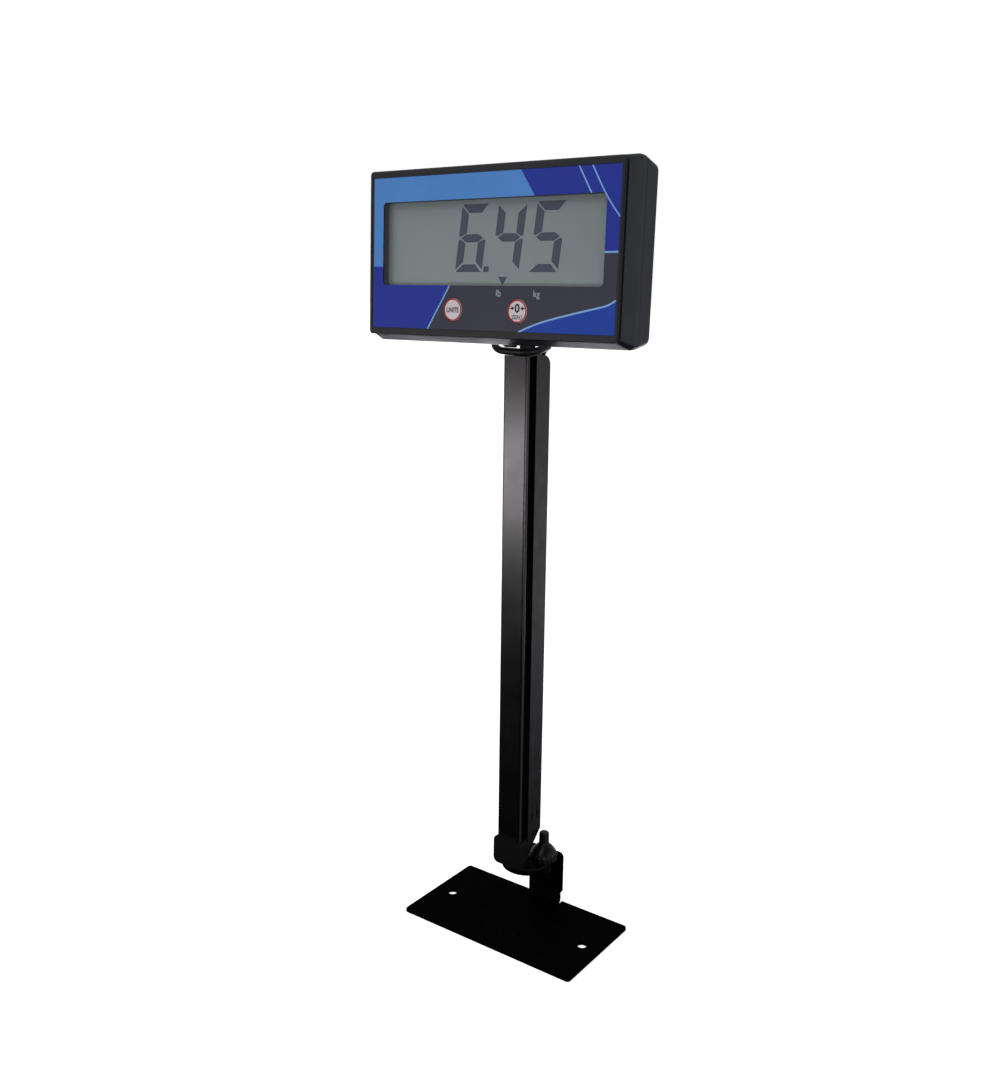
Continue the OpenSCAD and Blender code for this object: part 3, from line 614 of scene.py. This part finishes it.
navy_top = [(slant_top, HIGH), (RIGHT, HIGH), (RIGHT, STEP_RIGHT), (WR, STEP_RIGHT),
            (WR, WT - CORNER)]
navy_top += arc(WR - CORNER, WT - CORNER, CORNER, 0, 90)[1:]
navy_top += [(slant_low, WT)]
flat("ink_navy_top", navy_top[::-1], "ink_navy")

slant_a = along((-28.0, 30.4), (-44.3, 4.9), WB)
slant_b = along((-28.0, 30.4), (-44.3, 4.9), LOW)
navy_low = [(LEFT, STEP_LEFT), (WL, STEP_LEFT), (WL, WB + CORNER)]
navy_low += arc(WL + CORNER, WB + CORNER, CORNER, 180, 270)[1:]
navy_low += [(slant_a, WB), (slant_b, LOW), (LEFT, LOW)]
flat("ink_navy_low", navy_low[::-1], "ink_navy")

wave = smooth_curve([(25.6, LOW), (36.5, 8.7), (49.2, 12.4), (69.1, 17.0), (84.5, 20.4), (RIGHT, 23.6)])
flat("ink_royal_wedge", wave + [(RIGHT, LOW)], "ink_royal")

stroke("ink_line_slant", [(slant_a, WB), (slant_b, LOW)], 0.9)
stroke("ink_line_wave", wave, 1.0)
stroke("ink_line_step", [(WR, STEP_RIGHT - 0.55), (RIGHT, STEP_RIGHT - 0.55)], 1.1)
stroke("ink_line_one", [(63.5, HIGH), (72.4, WT)], 0.8)
curve_two = smooth_curve([(72.3, HIGH), (76.4, 90.0), (81.2, 82.2), (86.2, 75.2), (RIGHT, 69.0)])
stroke("ink_line_two", curve_two, 0.8)


# ---------------------------------------------------------------- lettering

def lettering(name, text, height, x, z, material, body="display", front=INK_Y - 0.04, wide=1.0, bold=0.0):
    """Plain letters of the given height in millimetres, centred on (x, z) and facing the viewer."""
    curve = bpy.data.curves.new(name, "FONT")
    curve.body = text
    curve.size = 1.0
    curve.align_x = "CENTER"
    curve.offset = bold
    curve.extrude = 0.001
    temp = bpy.data.objects.new(name + "_curve", curve)
    bpy.context.scene.collection.objects.link(temp)
    bpy.context.view_layer.update()
    mesh = bpy.data.meshes.new_from_object(temp.evaluated_get(bpy.context.evaluated_depsgraph_get()))
    bpy.data.objects.remove(temp)
    xs = [v.co.x for v in mesh.vertices]
    ys = [v.co.y for v in mesh.vertices]
    grow = height / (max(ys) - min(ys))
    mid_x, mid_y = (max(xs) + min(xs)) / 2, (max(ys) + min(ys)) / 2
    for v in mesh.vertices:
        u, w, t = v.co
        v.co = Vector((x + (u - mid_x) * grow * wide, front - FILM_T * (t > 0), z + (w - mid_y) * grow)) * MM
    mesh.materials.clear()
    mesh.materials.append(MATERIALS[material])
    obj = bpy.data.objects.new(name, mesh)
    bpy.context.scene.collection.objects.link(obj)
    obj.matrix_world = DISPLAY
    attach(obj, body)


lettering("label_lb", "lb", 4.0, 10.1, 26.9, "ink_pale", bold=0.012)
lettering("label_kg", "kg", 5.0, 37.8, 26.1, "ink_pale", bold=0.012)


# ---------------------------------------------------------------- keys

FACE = Matrix.Rotation(math.radians(90), 4, "X")
PRINT_Y = -0.005


def key_piece(name, node, x):
    """A round key with a rolled edge, a flat face and its stem, turned about its own axis."""
    profile = [(0.0, -8.1), (1.7, -8.1), (2.0, -7.8), (2.0, -2.4), (KEY_R - 0.15, -2.4), (KEY_R, -2.25),
               (KEY_R, -0.4), (KEY_R - 0.06, -0.2), (KEY_R - 0.2, -0.05), (KEY_R - 0.4, 0.0),
               (0.3, 0.0), (0.0, 0.0)]
    where = DISPLAY @ Matrix.Translation(Vector((x, 0, KEY_Z)) * MM) @ FACE
    obj = make(name, *lathe([(max(r, 0.02), h) for r, h in profile], 72), "key_white", node, where)
    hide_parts(node)


def printed_ring(name, r_in, r_out, x, body):
    """A printed ring on a key, as a closed thin band."""
    edges = ((r_in, PRINT_Y), (r_out, PRINT_Y), (r_out, PRINT_Y - FILM_T), (r_in, PRINT_Y - FILM_T))
    rings = [[(x + u, y, KEY_Z + v) for u, v in circle(r, 72)] for r, y in edges]
    obj = make(name, *loft(rings, closed=True), "ink_red", body, DISPLAY)


def arrow(name, x, z, way, body):
    """A small solid arrow on a key, which points right for way 1 and left for way -1."""
    outline = [(-1.6, 0.35), (-0.2, 0.35), (-0.2, 1.35), (1.6, 0.0), (-0.2, -1.35), (-0.2, -0.35),
               (-1.6, -0.35)]
    points = [(x + way * u, z + v) for u, v in outline]
    flat(name, points, "ink_black", body=body, front=PRINT_Y)


key_piece("units_cap", "units_key", -KEY_X)
key_piece("zero_cap", "zero_key", KEY_X)
printed_ring("units_ring", KEY_R - 0.95, KEY_R - 0.12, -KEY_X, "units_key")
printed_ring("zero_ring", KEY_R - 0.95, KEY_R - 0.12, KEY_X, "zero_key")
lettering("units_word", "UNITS", 3.2, -KEY_X, KEY_Z - 0.1, "ink_black", "units_key", front=PRINT_Y, wide=0.8,
          bold=0.03)
lettering("zero_word", "ZERO", 2.4, KEY_X, KEY_Z - 3.5, "ink_black", "zero_key", front=PRINT_Y, wide=0.95,
          bold=0.02)
lettering("zero_digit", "0", 5.4, KEY_X, KEY_Z + 1.8, "ink_black", "zero_key", front=PRINT_Y, bold=0.03)
arrow("zero_arrow_left", KEY_X - 3.8, KEY_Z + 1.7, 1, "zero_key")
arrow("zero_arrow_right", KEY_X + 4.0, KEY_Z + 1.7, -1, "zero_key")


# ---------------------------------------------------------------- liquid crystal figures

DIGIT_H, DIGIT_W, DIGIT_T = 40.2, 20.6, 5.5
DIGIT_LEAN = 5.0 / DIGIT_H
DIGIT_LOW = 39.5
DIGIT_Y = 5.86


def digit_segments():
    """The seven bars of an upright digit, as outlines in (x, z)."""
    h, w, t, m = DIGIT_H, DIGIT_W, DIGIT_T, DIGIT_H / 2
    return {
        "a": [(0.9, h), (w - 0.7, h), (w - t + 0.3, h - t + 0.2), (t + 0.7, h - t + 0.2), (1.0, h - 1.0)],
        "f": [(0.0, h - 1.9), (0.3, h - 1.6), (t + 0.2, h - t - 0.5), (t + 0.2, m + 2.9), (1.6, m + 0.9),
              (0.0, m + 1.4)],
        "b": [(w, h - 1.6), (w - t, h - t - 0.6), (w - t, m + 2.7), (w - 1.6, m + 0.7), (w, m + 1.2)],
        "g": [(1.9, m), (t + 0.3, m + 2.4), (w - t - 0.3, m + 2.4), (w - 1.9, m), (w - t - 0.3, m - 2.4),
              (t + 0.3, m - 2.4)],
        "e": [(0.0, 1.5), (t, t + 0.7), (t, m - 2.8), (1.6, m - 0.8), (0.0, m - 1.3)],
        "c": [(w, 1.5), (w - t, t + 0.7), (w - t, m - 2.8), (w - 1.6, m - 0.8), (w, m - 1.3)],
        "d": [(0.7, 0.0), (w - 0.9, 0.0), (w - t - 0.2, t - 0.9), (t + 0.1, t - 0.9), (0.7, 0.35)],
    }


def digit(name, lit, x):
    for bar, outline in digit_segments().items():
        if bar in lit:
            points = [(x + u + v * DIGIT_LEAN, DIGIT_LOW + v) for u, v in outline]
            flat(f"{name}_{bar}", points, "segment", front=DIGIT_Y)


digit("figure_one", "afgedc", -27.8)
digit("figure_two", "fgbc", -0.2)
digit("figure_three", "afgcd", 27.6)
flat("figure_point", [(-6.0, 39.5), (-2.1, 39.5), (-1.7, 42.9), (-5.6, 42.9)], "segment", front=DIGIT_Y)
flat("figure_marker", [(5.3, 36.7), (12.4, 36.7), (8.85, 31.9)], "segment", front=DIGIT_Y)


# ---------------------------------------------------------------- lead, gland and knobs

def tube(name, path, r, material, sides=20):
    """A round tube along a smooth path, with its side vectors carried along so that it never twists."""
    path = [Vector(p) for p in path]
    ways = [(path[min(i + 1, len(path) - 1)] - path[max(i - 1, 0)]).normalized() for i in range(len(path))]
    side = Vector((1, 0, 0))
    rings = []
    for p, way in zip(path, ways):
        side = (side - way * side.dot(way)).normalized()
        other = way.cross(side)
        rings.append([tuple(p + side * u + other * v) for u, v in circle(r, sides)])
    return make(name, *loft(rings), material, None)


TOP = COLUMN_TOP / MM
LEAD_R = 2.35
BORE_R = LEAD_R + 0.1
GLAND_END = DISPLAY @ (Vector((GLAND_X, 44.5, GLAND_Z)) * MM) / MM
LEAD = [tuple(GLAND_END), (-24, 4, TOP + 41.5), (-24.2, 8.5, TOP + 40.5), (-24.6, 12.5, TOP + 37),
        (-25, 14.5, TOP + 31), (-25.2, 14, TOP + 24), (-25.3, 10.5, TOP + 16), (-25, 4.5, TOP + 10),
        (-21.5, -2.5, TOP + 5.8), (-15.5, -6.4, TOP + 3.2), (-8.5, -7.7, TOP + 2.5), (0, -7.7, TOP + 2.4),
        (7, -6.7, TOP + 2.4), (12.4, -2.8, TOP + 3.5), (13.9, 3.5, TOP + 5.1), (11.8, 9.4, TOP + 5.3),
        (6.9, 12.2, TOP + 2.5), (3, 12, TOP - 4.8), (1, 10.8, TOP - 12.5), (0, 9.5, TOP - 20.5),
        (0, 9.5, TOP - 45), (0, 9.5, TOP - 105), (0, 9.5, TOP - 165), (0, 9.5, TOP - 225),
        (0, 9.5, TOP - 274.5)]
lead = tube("lead_jacket", smooth_curve(LEAD, 5), LEAD_R, "jacket")
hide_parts("lead_cable")
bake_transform(lead)

relief = [(BORE_R, 33.2), (3.85, 33.2), (3.85, 35.0), (5.8, 35.02), (6.0, 35.25), (6.0, 36.7), (5.75, 37.0),
          (4.75, 37.0)]
for i in range(7):
    at = 37.6 + i * 1.02
    wall = 4.75 - 0.2 * i
    relief += [(wall, at), (wall, at + 0.42), (wall - 0.55, at + 0.5), (wall - 0.55, at + 0.92)]
relief += [(3.2, 44.8), (3.0, 45.0), (BORE_R, 45.0)]
BACK = Matrix.Rotation(math.radians(-90), 4, "X")
relief_rings = [[(u, v, h) for u, v in circle(r, 48)] for r, h in relief]
gland = make("strain_relief", *loft(relief_rings, closed=True), "jacket", "display",
             DISPLAY @ Matrix.Translation(Vector((GLAND_X, 0, GLAND_Z)) * MM) @ BACK)
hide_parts("cable_gland")

knob_low, knob_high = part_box("clamp_knob")
KNOB_R = (knob_high.x - knob_low.x) / 2 / MM
KNOB_MID = Vector(((knob_low.x + knob_high.x) / 2, (knob_low.y + knob_high.y) / 2, knob_low.z))
KNOB_H = (knob_high.z - knob_low.z) / MM


def fluted(angle, r, h):
    """Sixteen shallow flutes in the rim, which fade out above and below it."""
    if r < KNOB_R - 1.0 or h > 6.8:
        return r
    d = (math.degrees(angle) + 11.25) % 22.5 - 11.25
    return r - 0.55 * max(0.0, 1 - (abs(d) / 4.2) ** 2)


knob_profile = [(0.05, 15.0), (2.56, 15.0), (2.56, 0.0), (6.3, 0.0), (6.5, 0.2), (6.5, 1.8),
                (KNOB_R - 0.6, 1.8), (KNOB_R - 0.15, 1.95), (KNOB_R, 2.3), (KNOB_R, 5.7),
                (KNOB_R - 0.15, 6.05), (KNOB_R - 0.45, 6.3), (KNOB_R - 0.55, 6.8)]
shoulder = smooth_curve([(KNOB_R - 0.6, 7.1), (8.05, 9.3), (6.25, 11.4), (4.65, 12.9), (3.85, 13.7),
                         (3.6, 15.0)], 4)
knob_profile += shoulder + [(3.5, KNOB_H - 1.3), (3.3, KNOB_H - 0.5), (2.8, KNOB_H - 0.1),
                            (2.2, KNOB_H), (0.05, KNOB_H)]
clamp = make("clamp_knob_piece", *lathe(knob_profile, 128, fluted), "knob_plastic", "clamp_knob",
             Matrix.Translation(KNOB_MID))
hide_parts("clamp_knob")

tilt_low, tilt_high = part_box("tilt_knob")


def lobed(angle, r, h):
    """Six scallops cut into the grip of the tilt knob."""
    if r < 6.0 or h < 2.3:
        return r
    d = math.radians((math.degrees(angle) + 30) % 60 - 30)
    reach = 10.6 * math.sin(abs(d))
    if reach >= 3.0:
        return r
    return min(r, 10.6 * math.cos(d) - math.sqrt(9.0 - reach * reach) + 0.02)


tilt_profile = [(0.05, 10.2), (2.56, 10.2), (2.56, 0.0), (4.2, 0.0), (4.4, 0.2), (4.4, 2.4), (8.4, 2.45),
                (8.8, 2.7), (9.0, 3.2), (9.0, 9.7), (8.7, 10.2), (8.0, 10.5), (7.3, 10.6), (7.2, 11.6),
                (6.8, 12.0), (0.05, 12.0)]
SIDE = Matrix.Rotation(math.radians(90), 4, "Y")
tilt = make("tilt_knob_piece", *lathe(tilt_profile, 144, lobed), "knob_plastic", "tilt_knob",
            DISPLAY @ Matrix.Translation(Vector((tilt_low.x / MM, 47.0, 31.0)) * MM) @ SIDE)
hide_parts("tilt_knob")


# ---------------------------------------------------------------- metalwork

refined("base_bracket", "plate_black", 0.45, 3)
refined("swivel_foot", "foot_black", 0.5, 3)
refined("column_front", "strip_paint", 0.25, 2)
refined("column_rear", "channel_paint", 0.35, 2)
refined("column_cap", "cap_grey_painted_highlight", 0.3, 3)
refined("neck_bracket", "powder_black", 0.3, 2)
refined("display_bracket", "powder_black", 0.3, 2)

for node, material in {
        "friction_washer": "nylon", "pivot_rivet": "dark_steel", "foot_screws": "dark_steel",
        "clamp_stud": "dark_steel", "column_core": "core_black_painted_shade", "column_rivets": "dark_steel",
        "neck_screws": "dark_steel", "slot_plug": "jacket", "cable_clips": "knob_plastic",
        "lead_socket": "knob_plastic",
        "bracket_screws": "dark_steel", "bracket_inserts": "brass", "tilt_bolt": "zinc_steel",
        "tilt_washers": "nylon", "overlay": "ink_charcoal", "window_lens": "clear_window",
        "lcd_panel": "lcd_reflector", "lcd_holder": "nylon", "contact_strips": "contact",
        "main_board": "solder_mask", "board_chips": "chip", "key_switches": "chip", "cable_header": "nylon",
        "board_lead": "jacket", "buzzer": "chip", "board_screws": "zinc_steel", "case_gasket": "foam",
        "case_screws": "dark_steel"}.items():
    dress(node, material)


# ---------------------------------------------------------------- floor, lights and camera

def floor_material():
    """White paper that glows a little, so that it stays white under a soft light."""
    material = bpy.data.materials.new("pale_floor")
    n = Nodes(material)
    n.link(n.mix(n.span(n.noise(3.0, 3.0), 0.3, 0.7), rgb(246, 246, 246), rgb(252, 252, 252)),
           n.shader.inputs["Base Color"])
    n.link(n.span(n.noise(8.0), 0.3, 0.7, 0.82, 0.92), n.shader.inputs["Roughness"])
    n.shader.inputs["Specular IOR Level"].default_value = 0.0
    n.shader.inputs["Emission Color"].default_value = (1, 1, 1, 1)
    n.shader.inputs["Emission Strength"].default_value = 0.75
    MATERIALS["pale_floor"] = material


floor_material()
far = 30000
floor = make("floor", [(-far, -far, -0.05), (far, -far, -0.05), (far, far, -0.05), (-far, far, -0.05)],
             [(0, 1, 2, 3)], "pale_floor", None)
floor.visible_diffuse = False
floor.visible_glossy = False


# How bright the room is in the reflections: in front, to the right, and behind by the height of the view.
ROOM_FRONT, ROOM_RIGHT = 0.08, 0.38
ROOM_BEHIND = ((-0.43, 0.03), (-0.37, 0.12), (-0.32, 0.46), (-0.26, 0.85), (-0.17, 0.78), (-0.08, 0.32),
               (0.35, 0.40), (0.80, 0.32))


def studio():
    """White behind the object as the camera sees it. As light, the room is bright behind and dim in front."""
    world = bpy.data.worlds.new("studio")
    bpy.context.scene.world = world
    world.use_nodes = True
    tree = world.node_tree

    def add(kind, **inputs):
        n = tree.nodes.new("ShaderNode" + kind)
        for key, value in inputs.items():
            n.inputs[key.replace("_", " ")].default_value = value
        return n

    def maths(operation, a, b):
        n = add("Math")
        n.operation = operation
        tree.links.new(a, n.inputs[0])
        tree.links.new(b, n.inputs[1])
        return n.outputs["Value"]

    def span(value, *limits):
        n = add("MapRange", **dict(zip(("From_Min", "From_Max", "To_Min", "To_Max"), limits)))
        tree.links.new(value, n.inputs["Value"])
        return n.outputs["Result"]

    way = add("SeparateXYZ")
    tree.links.new(add("TexCoord").outputs["Generated"], way.inputs[0])
    ramp = add("ValToRGB")
    tree.links.new(span(way.outputs["Z"], -1.0, 1.0, 0.0, 1.0), ramp.inputs["Fac"])
    stops = ramp.color_ramp.elements
    for k, (height, level) in enumerate(ROOM_BEHIND):
        stop = stops[k] if k < len(stops) else stops.new(1.0)
        stop.position = (height + 1) / 2
        stop.color = (level, level, level, 1)
    behind = maths("MULTIPLY", ramp.outputs["Color"], span(way.outputs["Y"], -0.1, 0.6, 0.0, 1.0))
    behind = maths("MULTIPLY", behind, span(way.outputs["Y"], 0.84, 0.97, 1.0, 0.3))
    right = span(way.outputs["X"], 0.65, 0.9, 0.0, ROOM_RIGHT)
    front = span(way.outputs["Z"], -0.3, -0.05, 0.0, ROOM_FRONT)
    level = maths("ADD", maths("ADD", behind, right), front)
    room = tree.nodes["Background"]
    room.inputs["Color"].default_value = (0.93, 0.95, 1.0, 1)
    tree.links.new(level, room.inputs["Strength"])
    paper = add("Background", Color=(1, 1, 1, 1), Strength=1.0)
    pick = add("MixShader")
    tree.links.new(add("LightPath").outputs["Is Camera Ray"], pick.inputs["Fac"])
    tree.links.new(room.outputs[0], pick.inputs[1])
    tree.links.new(paper.outputs[0], pick.inputs[2])
    tree.links.new(pick.outputs[0], tree.nodes["World Output"].inputs["Surface"])


studio()


def lamp(name, kind, energy, place, target=(0, 0, 0.25), **more):
    light = bpy.data.lights.new(name, kind)
    light.energy = energy
    for key, value in more.items():
        setattr(light, key, value)
    obj = bpy.data.objects.new(name, light)
    bpy.context.scene.collection.objects.link(obj)
    obj.location = place
    obj.rotation_mode = "QUATERNION"
    obj.rotation_quaternion = (Vector(target) - Vector(place)).to_track_quat("-Z", "Y")
    obj.visible_camera = False
    return obj


CARD = dict(shape="RECTANGLE", size=1.0, size_y=0.18, color=(1.0, 0.93, 0.98))
lamp("soft_sun", "SUN", 1.5, (-1.25, -1.65, 2.4), angle=math.radians(70))
lamp("card_left", "AREA", 4.3, (-0.85, -1.20, 0.10), (0, 0, 0.32), **CARD)
lamp("card_right", "AREA", 4.3, (1.00, -1.15, 0.10), (0, 0, 0.32), **CARD)
lamp("floor_behind", "AREA", 10.5, (-0.40, 0.85, 0.01), (-0.40, 0.85, 1.0), shape="RECTANGLE", size=1.0,
     size_y=0.6, color=(0.95, 0.92, 1.0))

camera = bpy.data.cameras.new("camera")
camera.sensor_fit = "AUTO"
camera.sensor_width = 36.0
camera.lens = 36.6
camera.clip_start, camera.clip_end = 0.01, 200.0
eye = bpy.data.objects.new("camera", camera)
bpy.context.scene.collection.objects.link(eye)
around, down, roll = math.radians(35.87), math.radians(12.64), math.radians(0.72)
forward = Vector((-math.sin(around) * math.cos(down), math.cos(around) * math.cos(down), -math.sin(down)))
right = Vector((math.cos(around), math.sin(around), 0))
up = right.cross(forward)
eye_right = right * math.cos(roll) + up * math.sin(roll)
eye_up = up * math.cos(roll) - right * math.sin(roll)
turn = Matrix((eye_right, eye_up, -forward)).transposed().to_4x4()
eye.matrix_world = Matrix.Translation((0.4053, -0.5845, 0.4439)) @ turn
bpy.context.scene.camera = eye
bpy.context.scene.view_settings.view_transform = "Standard"
